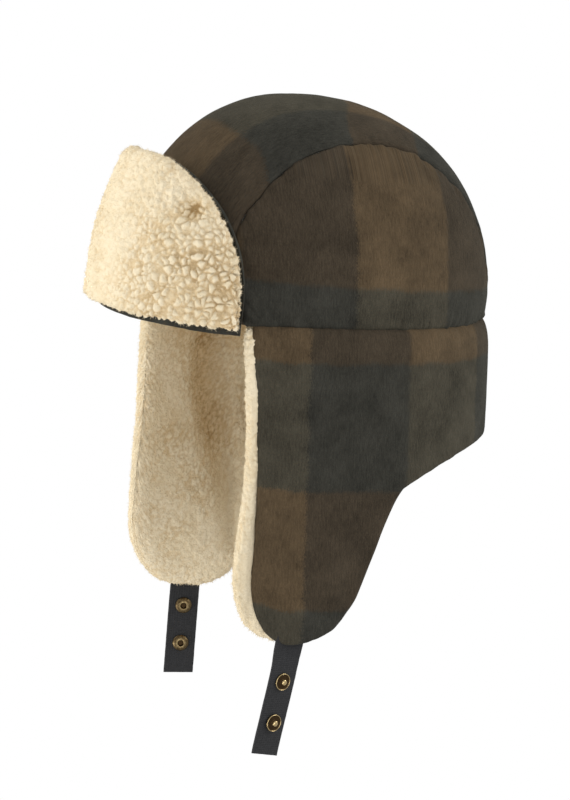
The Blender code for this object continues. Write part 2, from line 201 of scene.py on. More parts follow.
def crown_point(turn, rise, depth):
    share = np.maximum(0.0, np.cos(rise)) ** (2 / RISE_POWER)
    height = (CROWN_HEIGHT - depth) * np.maximum(0.0, np.sin(rise)) ** (2 / RISE_POWER)
    x = (CROWN_HALF_WIDTH - depth) * share * signed_power(np.cos(turn), 2 / PLAN_POWER)
    y = (CROWN_HALF_LENGTH - depth) * share * signed_power(np.sin(turn), 2 / PLAN_POWER)
    return vec(x, y + crown_lean(height), height)


def crown_outward(turn, rise):
    step = 1e-4
    here = crown_point(turn, rise, 0.0)
    round_it = crown_point(turn + step, rise, 0.0) - here
    up_it = crown_point(turn, rise + step, 0.0) - here
    out = np.cross(round_it, up_it)
    return out / np.linalg.norm(out, axis=-1, keepdims=True)


def crown_reach(side, path):
    low = np.zeros(np.broadcast(side, path).shape)
    high = low + 1.2
    for _ in range(45):
        middle = (low + high) / 2
        plan = np.abs(side) ** PLAN_POWER + (middle * np.abs(np.cos(path))) ** PLAN_POWER
        over = plan ** (RISE_POWER / PLAN_POWER) + (middle * np.sin(path)) ** RISE_POWER > 1
        high = np.where(over, middle, high)
        low = np.where(over, low, middle)
    return (low + high) / 2


def centre_half_width(path):
    flare = (TEMPLE_HALF_WIDTH - FOREHEAD_HALF_WIDTH) * (1 - smooth(path / TEMPLE_FLARE_END))
    return FOREHEAD_HALF_WIDTH + flare - TAPER_PER_DEGREE * np.maximum(0.0, path - TAPER_START)


def centre_panel(along, across, depth):
    """From the front (along 0) over the top to the back, and from the left (across 0) to the right."""
    path = 180 * along
    side = centre_half_width(path) / CROWN_HALF_WIDTH * (1 - 2 * across)
    reach = crown_reach(side, np.radians(path))
    height = (CROWN_HEIGHT - depth) * reach * np.sin(np.radians(path))
    y = -(CROWN_HALF_LENGTH - depth) * reach * np.cos(np.radians(path)) + crown_lean(height)
    return vec((CROWN_HALF_WIDTH - depth) * side, y, height)


def seam_angles(along):
    path = 180 * along
    side = centre_half_width(path) / CROWN_HALF_WIDTH
    reach = crown_reach(side, np.radians(path))
    level = np.clip(reach * np.sin(np.radians(path)), 0.0, 1.0)
    rise = np.arcsin(level ** (RISE_POWER / 2))
    turn = np.arccos(np.minimum(1.0, side / np.cos(rise) ** (2 / RISE_POWER)) ** (PLAN_POWER / 2))
    return np.where(path > 90, turn, -turn), rise


def side_panel(along, across, depth):
    """The left panel, from the crown's lower edge (across 0) up to the seam (across 1)."""
    seam_turn, seam_rise = seam_angles(along)
    front, _ = seam_angles(np.array(0.0))
    back, _ = seam_angles(np.array(1.0))
    edge_turn = front + (back - front) * along
    return crown_point(edge_turn + (seam_turn - edge_turn) * across, seam_rise * across, depth)


def guard_plan(turn, stand_off):
    x = (CROWN_HALF_WIDTH + stand_off) * signed_power(np.cos(turn), 2 / PLAN_POWER)
    return vec(x, (CROWN_HALF_LENGTH + stand_off) * signed_power(np.sin(turn), 2 / PLAN_POWER), 0.0)


ARC_TURNS = np.radians(90 - np.linspace(0, 180, 1441))
ARC_STEPS = np.linalg.norm(np.diff(guard_plan(ARC_TURNS, GUARD_STAND_OFF), axis=0), axis=1)
ARC_PLACES = np.concatenate([[0.0], np.cumsum(ARC_STEPS)])


def turn_at(place):
    return np.interp(place, ARC_PLACES, ARC_TURNS)


def hanging_point(place, drop, depth, side):
    """A point of one half of the hanging wall, `place` along the cloth from the centre back."""
    stand_off = GUARD_STAND_OFF * (1 - np.exp(-drop / GUARD_BULGE_DROP))
    slant = vec(0.0, GUARD_SLANT * drop, -drop)
    point = guard_plan(turn_at(place), stand_off - depth) + slant
    if side == "left":
        return point
    first, last = TURN_IN_PLACES
    share = smooth((drop - TURN_IN_FROM) / (FLAP_TIP_DROP - TURN_IN_FROM))
    share = share * smooth((place - first) / (last - first))
    edge = guard_plan(turn_at(LINING_FRONT), stand_off) + slant
    angle = math.radians(RIGHT_TURN_IN) * share
    off = point - edge
    x = off[..., 0] * np.cos(angle) - off[..., 1] * np.sin(angle) - RIGHT_SHIFT_IN * share
    y = off[..., 0] * np.sin(angle) + off[..., 1] * np.cos(angle)
    moved = edge + vec(x, y, off[..., 2] - RIGHT_EXTRA_DROP * share)
    return moved * np.array([-1.0, 1.0, 1.0])


def hem_drop(place):
    return BACK_DROP + (FOLD_DROP - BACK_DROP) * np.minimum(1.0, place / NOTCH_PLACE) ** 3


def front_place(base, drop):
    return base + FLARE_AT_TIP * smooth((drop - 80) / 80)


def flap_edges(drop, front_base):
    below = drop - FOLD_DROP
    back = NOTCH_PLACE + FLAP_BACK_TAPER * below + NOTCH_ROUND * (1 - np.exp(-below / NOTCH_ROUND_DROP))
    front = front_place(front_base, drop)
    rounding = np.clip((drop - FLAP_ROUND_DROP) / (FLAP_TIP_DROP - FLAP_ROUND_DROP), 0.0, 1.0)
    keep = (1 - rounding**FLAP_ROUND_POWER) ** (1 / FLAP_ROUND_POWER)
    return TIP_PLACE + (back - TIP_PLACE) * keep, TIP_PLACE + (front - TIP_PLACE) * keep


def brim_point(along, across, stand_off, grown=0.0):
    """The brim standing up, from the left temple to the right and from its foot to its upper edge."""
    swing = np.pi * (along - 0.5)
    share = signed_power(np.sin(swing), 2 / BRIM_OUTLINE_POWER)
    outline = np.maximum(0.0, np.cos(swing)) ** (2 / BRIM_OUTLINE_POWER)
    turn = np.radians(-90 - (BRIM_HALF_ANGLE + 0.55 * grown) * share)
    height = BRIM_FOOT + (BRIM_HEIGHT + grown - BRIM_FOOT) * outline * across
    on_crown = np.maximum(0.0, height)
    rise = np.arcsin((on_crown / CROWN_HEIGHT) ** (RISE_POWER / 2))
    off = stand_off + BRIM_TOP_STAND_OFF * (1 - share * share) * on_crown / BRIM_HEIGHT
    return (
        crown_point(turn, rise, 0.0)
        + np.expand_dims(off * np.ones_like(turn), -1) * crown_outward(turn, rise)
        + vec(0.0, 0.0, np.minimum(0.0, height))
    )


# ---- materials


def node(tree, kind, inputs=(), **settings):
    """A shader node. An input is a value or another node's output socket."""
    made = tree.nodes.new("ShaderNode" + kind)
    for key, value in settings.items():
        setattr(made, key, value)
    for key, value in dict(inputs).items():
        if isinstance(value, bpy.types.NodeSocket):
            tree.links.new(value, made.inputs[key])
        else:
            made.inputs[key].default_value = value
    return made


def math_of(tree, operation, first, second=0.0):
    return node(tree, "Math", {0: first, 1: second}, operation=operation).outputs[0]


def plus(tree, first, second):
    return math_of(tree, "ADD", first, second)


def times(tree, first, second):
    return math_of(tree, "MULTIPLY", first, second)


def either_side(tree, noise, share):
    """A noise from 0 to 1 as a number on either side of zero."""
    return times(tree, plus(tree, noise, -0.5), share)


def mix_of(tree, factor, first, second, blend="MIX"):
    made = node(tree, "Mix", data_type="RGBA", blend_type=blend)
    for key, value in ((0, factor), (6, first), (7, second)):
        if isinstance(value, bpy.types.NodeSocket):
            tree.links.new(value, made.inputs[key])
        elif key == 0:
            made.inputs[key].default_value = value
        else:
            made.inputs[key].default_value = (*value, 1.0)
    return made.outputs[2]


def ramp_of(tree, value, low, high, to_low=0.0, to_high=1.0):
    inputs = {0: value, 1: low, 2: high, 3: to_low, 4: to_high}
    return node(tree, "MapRange", inputs, interpolation_type="SMOOTHSTEP").outputs[0]


def noise_of(tree, vector, scale, detail=2.0, roughness=0.5):
    inputs = {"Vector": vector, "Scale": scale, "Detail": detail, "Roughness": roughness}
    return node(tree, "TexNoise", inputs).outputs[0]


def new_material(name, settings):
    made = bpy.data.materials.new(name)
    made.use_nodes = True
    shader = made.node_tree.nodes["Principled BSDF"]
    for key, value in settings.items():
        shader.inputs[key].default_value = value
    return made, made.node_tree, shader


def finish_material(tree, shader, colour, height, distance, strength):
    tree.links.new(colour, shader.inputs["Base Color"])
    inputs = {"Height": height, "Distance": distance, "Strength": strength}
    tree.links.new(node(tree, "Bump", inputs).outputs[0], shader.inputs["Normal"])


def sheen(weight, roughness, tint):
    return {"Sheen Weight": weight, "Sheen Roughness": roughness, "Sheen Tint": (*tint, 1.0)}


BROWN_LIGHT = (0.086, 0.058, 0.0315)
BROWN_DARK = (0.050, 0.037, 0.024)
GREEN_LIGHT = (0.048, 0.0445, 0.033)
GREEN_DARK = (0.032, 0.032, 0.027)
PILE_TIP = (0.78, 0.665, 0.465)
PILE_TIP_PALE = (0.82, 0.71, 0.515)
# Painted shade of the pile, at half depth and deep between the curls
PILE_HALF_SHADE = (0.67, 0.52, 0.315)
PILE_DEEP_SHADE = (0.38, 0.245, 0.105)


def make_wool():
    """Brushed wool in a four-tone check. Its cloth coordinates are metres along and down the cloth."""
    settings = {"Roughness": 0.95, "Specular IOR Level": 0.12, **sheen(0.05, 0.5, (0.75, 0.74, 0.55))}
    made, tree, shader = new_material("plaid_wool", settings)
    cloth = node(tree, "UVMap", uv_map="cloth").outputs[0]
    place = node(tree, "TexCoord").outputs["Object"]
    long_fibres = node(tree, "Mapping", {"Vector": cloth, "Scale": (1000.0, 170.0, 1.0)}).outputs[0]
    short_fibres = node(tree, "Mapping", {"Vector": cloth, "Scale": (2300.0, 700.0, 1.0)}).outputs[0]
    streaks = noise_of(tree, long_fibres, 1.0, 3.0, 0.6)
    strands = noise_of(tree, short_fibres, 1.0, 3.0, 0.7)
    mottle = noise_of(tree, place, 55.0, 3.0, 0.6)
    blotch = noise_of(tree, place, 24.0, 1.0)
    wobble = plus(tree, either_side(tree, strands, 0.011), either_side(tree, mottle, 0.006))
    split = node(tree, "SeparateXYZ", {0: cloth})

    def band(coordinate, width):
        shifted = plus(tree, coordinate, wobble)
        folded = math_of(tree, "PINGPONG", shifted, width * METRE)
        return ramp_of(tree, folded, (width / 2 - 1.3) * METRE, (width / 2 + 1.3) * METRE)

    column = band(split.outputs[0], COLUMN)
    row = band(split.outputs[1], ROW)
    brown = mix_of(tree, column, BROWN_DARK, BROWN_LIGHT)
    green = mix_of(tree, column, GREEN_DARK, GREEN_LIGHT)
    check = mix_of(tree, row, brown, green)
    other = mix_of(tree, row, green, brown)
    stray = ramp_of(tree, noise_of(tree, short_fibres, 1.7, 2.0, 0.6), 0.48, 0.70, 0.0, 0.55)
    check = mix_of(tree, stray, check, other)

    shade = 0.0
    for noise, share in ((streaks, 1.15), (strands, 1.2), (mottle, 1.1), (blotch, 0.5)):
        shade = plus(tree, either_side(tree, noise, share), shade)
    shade = math_of(tree, "MAXIMUM", plus(tree, shade, 1.0), 0.35)
    grey = node(tree, "CombineColor", {0: shade, 1: shade, 2: shade}).outputs[0]
    toned = mix_of(tree, 1.0, check, grey, "MULTIPLY")
    fleck = ramp_of(tree, noise_of(tree, short_fibres, 2.6, 1.0), 0.68, 0.80, 0.0, 0.5)
    colour = mix_of(tree, fleck, toned, (0.19, 0.155, 0.09))
    nap = times(tree, streaks, 0.8)
    nap = plus(tree, times(tree, strands, 0.9), nap)
    finish_material(tree, shader, colour, nap, 0.0010, 0.6)
    return made


def make_pile():
    """Cream sherpa, darkened to brown by painted shade that is highest deep between the curls."""
    settings = {"Roughness": 1.0, "Specular IOR Level": 0.08, **sheen(0.10, 0.6, (1.0, 0.92, 0.74))}
    made, tree, shader = new_material("sherpa_pile", settings)
    hollow = node(tree, "Attribute", attribute_name="hollow").outputs["Fac"]
    place = node(tree, "TexCoord").outputs["Object"]
    fine = noise_of(tree, place, 750.0, 3.0, 0.65)
    broad = noise_of(tree, place, 45.0, 2.0)
    # Painted shade: the cream darkens through half shade to deep brown shade as the painted shade attribute
    # rises
    deep = plus(tree, hollow, either_side(tree, fine, 0.5))
    tip = mix_of(tree, ramp_of(tree, broad, 0.35, 0.65), PILE_TIP, PILE_TIP_PALE)
    middle = mix_of(tree, ramp_of(tree, deep, 0.05, 0.6), tip, PILE_HALF_SHADE)
    colour = mix_of(tree, ramp_of(tree, deep, 0.5, 1.05), middle, PILE_DEEP_SHADE)
    cells = node(tree, "TexVoronoi", {"Vector": place, "Scale": 800.0}, feature="SMOOTH_F1")
    nap = plus(tree, times(tree, cells.outputs["Distance"], -0.9), fine)
    finish_material(tree, shader, colour, nap, 0.0010, 0.55)
    return made


def make_felt():
    made, tree, shader = new_material("interlining_felt", {"Roughness": 0.95})
    place = node(tree, "TexCoord").outputs["Object"]
    matted = noise_of(tree, place, 700.0, 4.0, 0.7)
    colour = mix_of(tree, matted, (0.42, 0.42, 0.40), (0.66, 0.66, 0.63))
    finish_material(tree, shader, colour, matted, 0.0005, 0.5)
    return made


def make_webbing():
    """Black webbing, with ribs across it and rows along it."""
    settings = {"Roughness": 0.72, "Specular IOR Level": 0.35, "Sheen Weight": 0.05}
    made, tree, shader = new_material("black_webbing", settings)
    cloth = node(tree, "UVMap", uv_map="cloth").outputs[0]
    split = node(tree, "SeparateXYZ", {0: cloth})
    weave = 0.0
    for axis, pitch, share in ((0, 0.0016, 0.35), (1, 0.0011, 0.5)):
        wave = math_of(tree, "SINE", times(tree, split.outputs[axis], 2 * math.pi / pitch))
        weave = plus(tree, times(tree, wave, share), weave)
    place = node(tree, "TexCoord").outputs["Object"]
    worn = noise_of(tree, place, 500.0, 3.0, 0.6)
    shade = plus(tree, times(tree, weave, 0.08), worn)
    colour = mix_of(tree, ramp_of(tree, shade, 0.25, 0.85), (0.012, 0.0122, 0.0135), (0.021, 0.0212, 0.023))
    finish_material(tree, shader, colour, plus(tree, weave, worn), 0.00018, 0.8)
    return made


def make_brass():
    """Antique brass: dark in its hollows and rubbed bright where its "wear" attribute is high."""
    made, tree, shader = new_material("antique_brass", {"Metallic": 1.0})
    place = node(tree, "TexCoord").outputs["Object"]
    wear = node(tree, "Attribute", attribute_name="wear").outputs["Fac"]
    tarnish_and_dent_shade = noise_of(tree, place, 900.0, 3.0, 0.6)
    stained = plus(tree, wear, times(tree, tarnish_and_dent_shade, 0.5))
    rubbed = ramp_of(tree, stained, 0.3, 1.0)
    colour = mix_of(tree, rubbed, (0.055, 0.034, 0.016), (0.60, 0.46, 0.235))
    tree.links.new(ramp_of(tree, rubbed, 0.0, 1.0, 0.5, 0.3), shader.inputs["Roughness"])
    finish_material(tree, shader, colour, tarnish_and_dent_shade, 0.00006, 0.5)
    return made


# ---- meshes


def new_piece(name, vertices, faces, look, slot, uv=None, **attributes):
    """A mesh from points in millimetres. `attributes` gives values for its vertices, by name."""
    mesh = bpy.data.meshes.new(name)
    faces = faces if isinstance(faces, list) else faces.tolist()
    mesh.from_pydata((np.asarray(vertices) * METRE).tolist(), [], faces)
    if uv is not None:
        layer = mesh.uv_layers.new(name="cloth")
        corners = np.zeros(len(mesh.loops), np.int32)
        mesh.loops.foreach_get("vertex_index", corners)
        layer.data.foreach_set("uv", (np.asarray(uv)[corners] * METRE).astype(np.float32).ravel())
    for key, values in attributes.items():
        attribute = mesh.attributes.new(key, "FLOAT", "POINT")
        attribute.data.foreach_set("value", np.asarray(values, np.float32))
    mesh.shade_smooth()
    made = bpy.data.objects.new(name, mesh)
    bpy.context.scene.collection.objects.link(made)
    mesh.materials.append(look)
    return made


def cloth_faces(rows, columns):
    """The faces of a front grid and of a back grid that shares its border."""
    front = np.arange(rows * columns).reshape(rows, columns)
    back = front.copy()
    back[1:-1, 1:-1] = rows * columns + np.arange((rows - 2) * (columns - 2)).reshape(rows - 2, columns - 2)

    def quads(grid):
        corners = (grid[:-1, :-1], grid[:-1, 1:], grid[1:, 1:], grid[1:, :-1])
        return np.stack(corners, axis=-1).reshape(-1, 4)

    return quads(front), quads(back)[:, ::-1]


class Cloth:
    """A closed slab of cloth: a front and a back grid that share their border."""

    def __init__(self, name, front, back, uv):
        rows, columns = front.shape[:2]
        inner = (slice(1, -1), slice(1, -1))
        self.name = name
        self.points = np.concatenate([front.reshape(-1, 3), back[inner].reshape(-1, 3)])
        self.uv = np.concatenate([uv.reshape(-1, 2), uv[inner].reshape(-1, 2)])
        self.on_front = np.concatenate([np.ones(rows * columns), np.zeros((rows - 2) * (columns - 2))])
        self.inner = inner
        front_faces, back_faces = cloth_faces(rows, columns)
        self.faces = np.concatenate([front_faces, back_faces])
        if self.volume() < 0:
            self.faces = self.faces[:, ::-1]

    def field(self, values):
        """A grid of values as one value for each vertex."""
        return np.concatenate([values.reshape(-1), values[self.inner].reshape(-1)])

    def corners(self):
        return [self.points[self.faces[:, i]] for i in range(4)]

    def volume(self):
        a, b, c, d = self.corners()
        return (np.cross(b - a, c - a) * a).sum() + (np.cross(c - a, d - a) * a).sum()

    def gather(self, values):
        """For each vertex, the sum of the values of the faces around it."""
        total = np.zeros((len(self.points), *values.shape[1:]))
        for i in range(4):
            np.add.at(total, self.faces[:, i], values)
        return total

    def normals(self):
        a, b, c, d = self.corners()
        total = self.gather(np.cross(c - a, d - b))
        return total / np.maximum(np.linalg.norm(total, axis=1, keepdims=True), 1e-9)

    def shares(self):
        """The part of the surface that belongs to each vertex."""
        a, b, c, d = self.corners()
        return self.gather(np.linalg.norm(np.cross(c - a, d - b), axis=1) / 8)

    def push(self, heights):
        self.points = self.points + self.normals() * heights[:, None]

    def make(self, look, slot, **attributes):
        return new_piece(self.name, self.points, self.faces, look, slot, self.uv, **attributes)


ALL_SIDES = ("first_row", "last_row", "first_column", "last_column")


def border_distance(points, *sides):
    """How far each point of a grid is from the named sides of it."""
    edges = dict(zip(ALL_SIDES, (points[0], points[-1], points[:, 0], points[:, -1])))
    lines = []
    for side in sides:
        line = edges[side]
        run = np.concatenate([[0.0], np.cumsum(np.linalg.norm(np.diff(line, axis=0), axis=1))])
        fine = np.linspace(0, run[-1], 2 + int(run[-1] / 0.07))
        lines.append(np.stack([np.interp(fine, run, line[:, i]) for i in range(3)], axis=-1))
    spots = np.concatenate(lines)
    tree = kdtree.KDTree(len(spots))
    for index, spot in enumerate(spots.tolist()):
        tree.insert(spot, index)
    tree.balance()
    flat = points.reshape(-1, 3).tolist()
    return np.array([tree.find(point)[2] for point in flat]).reshape(points.shape[:2])


def runs(middle):
    """The longest run down a grid of points, the run along each of its rows, and its area."""
    down, along = np.diff(middle, axis=0), np.diff(middle, axis=1)
    area = np.linalg.norm(np.cross(down[:, :-1], along[:-1]), axis=-1).sum()
    return np.linalg.norm(down, axis=-1).sum(axis=0).max(), np.linalg.norm(along, axis=-1).sum(axis=1), area


def declare_sheet(cloth, level=0.0):
    """Reads a piece's runs and area and does nothing more with them; `level` is not used."""
    width, lengths, area = cloth.runs
    area = area * METRE**2


def rounded(distance, radius):
    """0 on an edge, rising as a quarter circle to 1 at `radius` from it."""
    inward = 1 - np.clip(distance / radius, 0.0, 1.0)
    return np.sqrt(1 - inward * inward)


# ---- sherpa


def pile_height(points, size, tall, seed, parting=1.0):
    """Height of the pile's curls, and the painted shade of each spot, darkest deep between the curls.
    `parting` deepens the hollows.
    """
    drift = np.stack([clouds(points, 5.5, seed + axis) for axis in (11, 12, 13)], axis=-1)
    twist = np.stack([clouds(points, 2.3, seed + axis) for axis in (14, 15, 16)], axis=-1)
    nearest, second = curls(points + 1.6 * drift + 0.7 * twist, size, seed)
    ridge = smooth((second - nearest) / 0.42)
    dome = 0.7 * ridge + 0.3 * (1 - smooth(nearest / 0.9))
    open_here = smooth(0.5 + 1.1 * clouds(points, 12.0, seed + 9))
    dome = 1 - (1 - dome) * (0.86 + 0.14 * open_here) * parting
    kinks = 0.30 * clouds(points, 1.9, seed + 5) + 0.16 * clouds(points, 1.0, seed + 6)
    swell = 0.35 * clouds(points, 14.0, seed + 7)
    height = tall * (dome + kinks + swell - 0.6)
    # Painted shade: the deeper a spot lies between the curls, the darker it is painted
    hollow = np.clip((1 - dome) * 1.15 - 0.2 - 0.3 * kinks, 0.0, 1.0)
    return height, hollow * (0.8 + 0.2 * open_here)


def pile_cloth(name, surface, offsets, us, vs, uv, size, tall, seed, edges, extra=None, parting=None):
    """A sherpa piece. `offsets` and `edges` are the place and edge radius of its hidden and shown face."""
    across, along = np.meshgrid(vs, us, indexing="ij")
    hidden, shown = offsets
    centre = (hidden + shown) / 2
    middle = surface(along, across, np.full_like(along, centre))
    distance = border_distance(middle, *ALL_SIDES)
    front = surface(along, across, centre + (shown - centre) * rounded(distance, edges[1]))
    back = surface(along, across, centre + (hidden - centre) * rounded(distance, edges[0]))
    cloth = Cloth(name, front, back, uv(along, across))
    cloth.runs = runs(middle)
    parted = 1.0 if parting is None else parting(cloth.points)
    height, hollow = pile_height(cloth.points, size, tall, seed, parted)
    cloth.edge = cloth.field(bump(distance / 7.0))
    if extra is not None:
        height = height + extra(cloth)
    near_edge = cloth.field(np.minimum(1.0, 1.6 * bump(distance / 13.0)))
    mask = np.maximum(cloth.on_front, near_edge)
    # The last corner of a grid is a smooth place of the outline, where its cells are thin
    corner = cloth.field(smooth(np.linalg.norm(middle - middle[-1, -1], axis=-1) / 7.0))
    cloth.push(height * mask * (0.3 + 0.7 * corner))
    # The pile's painted shade, on its shown face and near its edges
    return cloth, hollow * mask


FIBRE_WIDTH = 0.2


def fibres(cloth, name, count, length, look, slot, seed, weight, hollow):
    """Loose fibres that stand out of a cloth as thin bent ribbons, more of them where `weight` is high."""
    index = np.arange(len(cloth.points))
    chance = dice(np.stack([index, index * 7 + 3, index * 13 + 5], axis=-1), seed)
    weight = weight * cloth.shares()
    chosen = index[chance < weight * count / max(weight.sum(), 1e-9)]
    base, out = cloth.points[chosen], cloth.normals()[chosen]
    cells = np.stack([chosen, chosen + 11, chosen + 29], axis=-1)
    rough = np.stack([dice(cells, seed + k) for k in range(1, 7)], axis=-1) - 0.5
    first = out + 1.1 * rough[:, :3]
    first /= np.linalg.norm(first, axis=1, keepdims=True)
    second = first + 1.8 * rough[:, 3:] - 0.15 * np.array([0, 0, 1.0])
    second /= np.linalg.norm(second, axis=1, keepdims=True)
    long = length * (0.5 + dice(cells, seed + 8))[:, None]
    side = np.cross(first, second + 0.3 * rough[:, :3])
    side /= np.maximum(np.linalg.norm(side, axis=1, keepdims=True), 1e-6)
    root = base - 0.3 * out
    middle = base + first * long * 0.5
    tip = middle + second * long * 0.5
    half = side * FIBRE_WIDTH / 2
    points = [root - half, root + half, middle - half * 0.8, middle + half * 0.8, tip]
    n = len(chosen)
    i = np.arange(n)
    quads = np.stack([i, i + n, i + 3 * n, i + 2 * n], axis=-1)
    ends = np.stack([i + 2 * n, i + 3 * n, i + 4 * n], axis=-1)
    uv = np.tile(cloth.uv[chosen], (5, 1))
    faces = quads.tolist() + ends.tolist()
    # Each fibre takes a third of the painted shade of the pile where it stands
    depth = np.tile(hollow[chosen] * 0.3, 5)
    return new_piece(name, np.concatenate(points), faces, look, slot, uv, hollow=depth)


# ---- wool


def line_noise(along, size, seed):
    return clouds(vec(along, 0.0, 0.0), size, seed)


def wool_cloth(name, surface, offsets, us, vs, uv, seams, size, seed, creases=None):
    """A wool piece. `seams` lists (side of the grid, radius, depth, pucker); `size` is the cloth's size."""
    across, along = np.meshgrid(vs, us, indexing="ij")
    hidden, shown = offsets
    middle = surface(along, across, np.full_like(along, shown))
    sink = np.zeros_like(along)
    pucker = np.zeros_like(along)
    for side, radius, depth, tuck in seams:
        distance = border_distance(middle, side)
        sink = np.maximum(sink, depth * (1 - rounded(distance, radius)))
        run = along * size[0] if side.endswith("row") else across * size[1]
        tucks = line_noise(run, 6.0, seed + 3) + 0.6 * line_noise(run, 3.1, seed + 4)
        pucker = pucker + tuck * tucks * bump(distance / 13.0)
    sink = np.minimum(sink, shown - hidden - 0.1)
    front = surface(along, across, shown - sink)
    back = surface(along, across, np.full_like(along, hidden))
    cloth = Cloth(name, front, back, uv(along, across))
    cloth.runs = runs(middle)
    points = cloth.points
    waves = 0.55 * clouds(points, 38.0, seed) + 0.22 * clouds(points, 13.0, seed + 1)
    nap = 0.05 * clouds(points, 2.2, seed + 2)
    shape = waves + cloth.field(pucker) * cloth.on_front + nap
    if creases is not None:
        shape = shape + creases(cloth)
    cloth.push(shape)
    return cloth


def crown_centre_uv(along, across):
    place = centre_panel(along, across, 0.0)
    x, y = place[..., 0], place[..., 1]
    rows = (-37.0, 37.0, 111.0, 185.0, 259.0)
    middle = np.interp(y, (-150.0, -68.0, 13.0, 54.0, 125.0), rows)
    seam = np.interp(y, (-150.0, -57.0, -1.0, 46.0, 118.0), rows)
    share = smooth((x - 15) / 40)
    return np.stack([x + COLUMN, middle + (seam - middle) * share], axis=-1)


def crown_side_uv(along, across):
    place = side_panel(along, across, 0.0)
    y, z = place[..., 1], place[..., 2]
    return np.stack([y + 41.5, 37 + np.maximum(24 - 0.035 * y - z, -62.0)], axis=-1)


def crown_panel(side):
    """The surface of one crown panel, and where it is longest, from its first edge (0) to its last (1)."""
    if side == "centre":
        return lambda along, across, off: centre_panel(along, across, -off), 0.5
    mirror = np.array([1.0 if side == "left" else -1.0, 1.0, 1.0])
    return lambda along, across, off: side_panel(along, across, -off) * mirror, 0.0


def finish_crown(piece, cloth, node_name, side, level):
    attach(piece, "root")
    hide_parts(f"{node_name}_{side}")
    declare_sheet(cloth, level=level)


def make_crown_wool(wool):
    for side, seed in (("centre", 10), ("left", 20), ("right", 30)):
        surface, level = crown_panel(side)
        if side == "centre":
            size, uv, creases = (348.0, 138.0), crown_centre_uv, top_creases
            us = stations(size[0], 1.3, 5.0)
            seams = (
                ("first_column", 6.0, 2.2, 0.5),
                ("last_column", 4.0, 2.2, 0.3),
                ("first_row", 3.4, 2.2, 0.28),
                ("last_row", 3.4, 2.2, 0.28),
            )
        else:
            size, uv, creases = (330.0, 112.0), crown_side_uv, None
            us = 0.004 + 0.992 * stations(size[0], 1.3, 5.0)
            seams = (("first_row", 4.0, 2.2, 0.45), ("last_row", 3.0, 2.2, 0.75))
        vs = stations(size[1], 1.3, 5.0)
        name = f"crown_wool_{side}"
        cloth = wool_cloth(name, surface, WOOL_OFFS, us, vs, uv, seams, size, seed, creases)
        finish_crown(cloth.make(wool, "plaid_wool"), cloth, "crown_shell", side, level)


def make_crown_pile(pile):
    def flat_uv(along, across):
        return np.stack([300 * along, 120 * across], axis=-1)

    for side, seed in (("centre", 40), ("left", 50), ("right", 60)):
        surface, level = crown_panel(side)
        if side == "centre":
            us, vs = stations(320.0, 2.0, 6.0), stations(126.0, 2.0, 6.0)
        else:
            us, vs = 0.006 + 0.988 * stations(300.0, 2.0, 6.0), stations(100.0, 2.0, 6.0)
        offsets, edges = (-CROWN_LINING_DEPTH, -WALL_THICKNESS), (3.0, 6.0)
        name = f"crown_pile_{side}"
        cloth, hollow = pile_cloth(name, surface, offsets, us, vs, flat_uv, 4.2, 1.3, seed, edges)
        finish_crown(cloth.make(pile, "sherpa_pile", hollow=hollow), cloth, "crown_lining", side, level)


def top_creases(cloth):
    """Soft creases that run back from each corner of the brim."""
    x, y, z = cloth.points.T
    total = np.zeros(len(x))
    for corner_x, corner_y, lean, deep in ((52, -84, 0.42, 0.8), (46, -86, 0.18, 0.55), (56, -80, 0.8, 0.6)):
        run = (y - corner_y) / 45.0
        fading = smooth(run * 4) * (1 - smooth(run)) * (z > 30)
        for sign in (1, -1):
            line = sign * (corner_x - lean * (y - corner_y))
            total = total - deep * bump((x - line) / 4.5) * fading
    return total


# ---- hanging wall

DROPS = np.linspace(FOLD_DROP, FLAP_TIP_DROP, 1201)


def wall_bottom(place, base):
    """The drop of the wall's lower edge, for a place along the cloth that has no flare at its front yet."""
    back, _ = flap_edges(DROPS, base)
    rounding = np.clip((DROPS - FLAP_ROUND_DROP) / (FLAP_TIP_DROP - FLAP_ROUND_DROP), 0.0, 1.0)
    keep = (1 - rounding**FLAP_ROUND_POWER) ** (1 / FLAP_ROUND_POWER)
    front = TIP_PLACE + (base - TIP_PLACE) * keep
    start = int(np.searchsorted(-front, -(base - 1e-6)))
    behind = np.interp(place, back, DROPS)
    ahead = np.interp(-place, -front[start:], DROPS[start:])
    return np.where(place < NOTCH_PLACE, hem_drop(place), np.where(place < TIP_PLACE, behind, ahead))


FAR_FOLD_PLACE = 196.0
FAR_FOLD_DRIFT = 3.0

# How far the front edges of the pile and of the wool stand ahead of the CAD model's, by drop
PILE_AHEAD = {
    "left": ((0, 12, 40, 68, 95, 118, 140, 170, 188), (3.3, 3.3, 1.2, -0.2, 0.2, 1.4, 2.3, 2.3, 1.6)),
    "right": ((0, 12, 60, 105, 140, 170, 188), (0.5, 0.8, 3.6, 6.4, 6.4, 4.2, 2.0)),
}
WOOL_AHEAD = {
    "left": ((0, 12, 32, 68, 105, 137, 180), (5.2, 5.2, 2.0, 0.0, -1.2, -2.2, -1.4)),
    "right": ((0, 12, 60, 105, 140, 170, 188), (0.0, 0.5, 1.5, 4.0, 4.0, 2.5, 1.0)),
}


def gentle(value, curve):
    """A broken line's height, with its corners rounded."""
    return sum(np.interp(value + shift, *curve) for shift in (-9, -4, 0, 4, 9)) / 5


def wall_surface(side, base, top_gap, ahead_by, lift=0.0):
    """`lift` shortens the cloth ahead of the tip."""

    def surface(along, across, off):
        column = along * base
        bottom = wall_bottom(column, base) - lift * smooth((column - TIP_PLACE - 2) / 12)
        drop = top_gap + (bottom - top_gap) * across
        ahead = np.clip((column - TIP_PLACE) / (base - TIP_PLACE), 0.0, 1.0)
        place = column + (front_place(base, drop) - base + gentle(drop, ahead_by)) * ahead
        return hanging_point(place, drop, -off - fold_out(side, column, drop), side)

    return surface


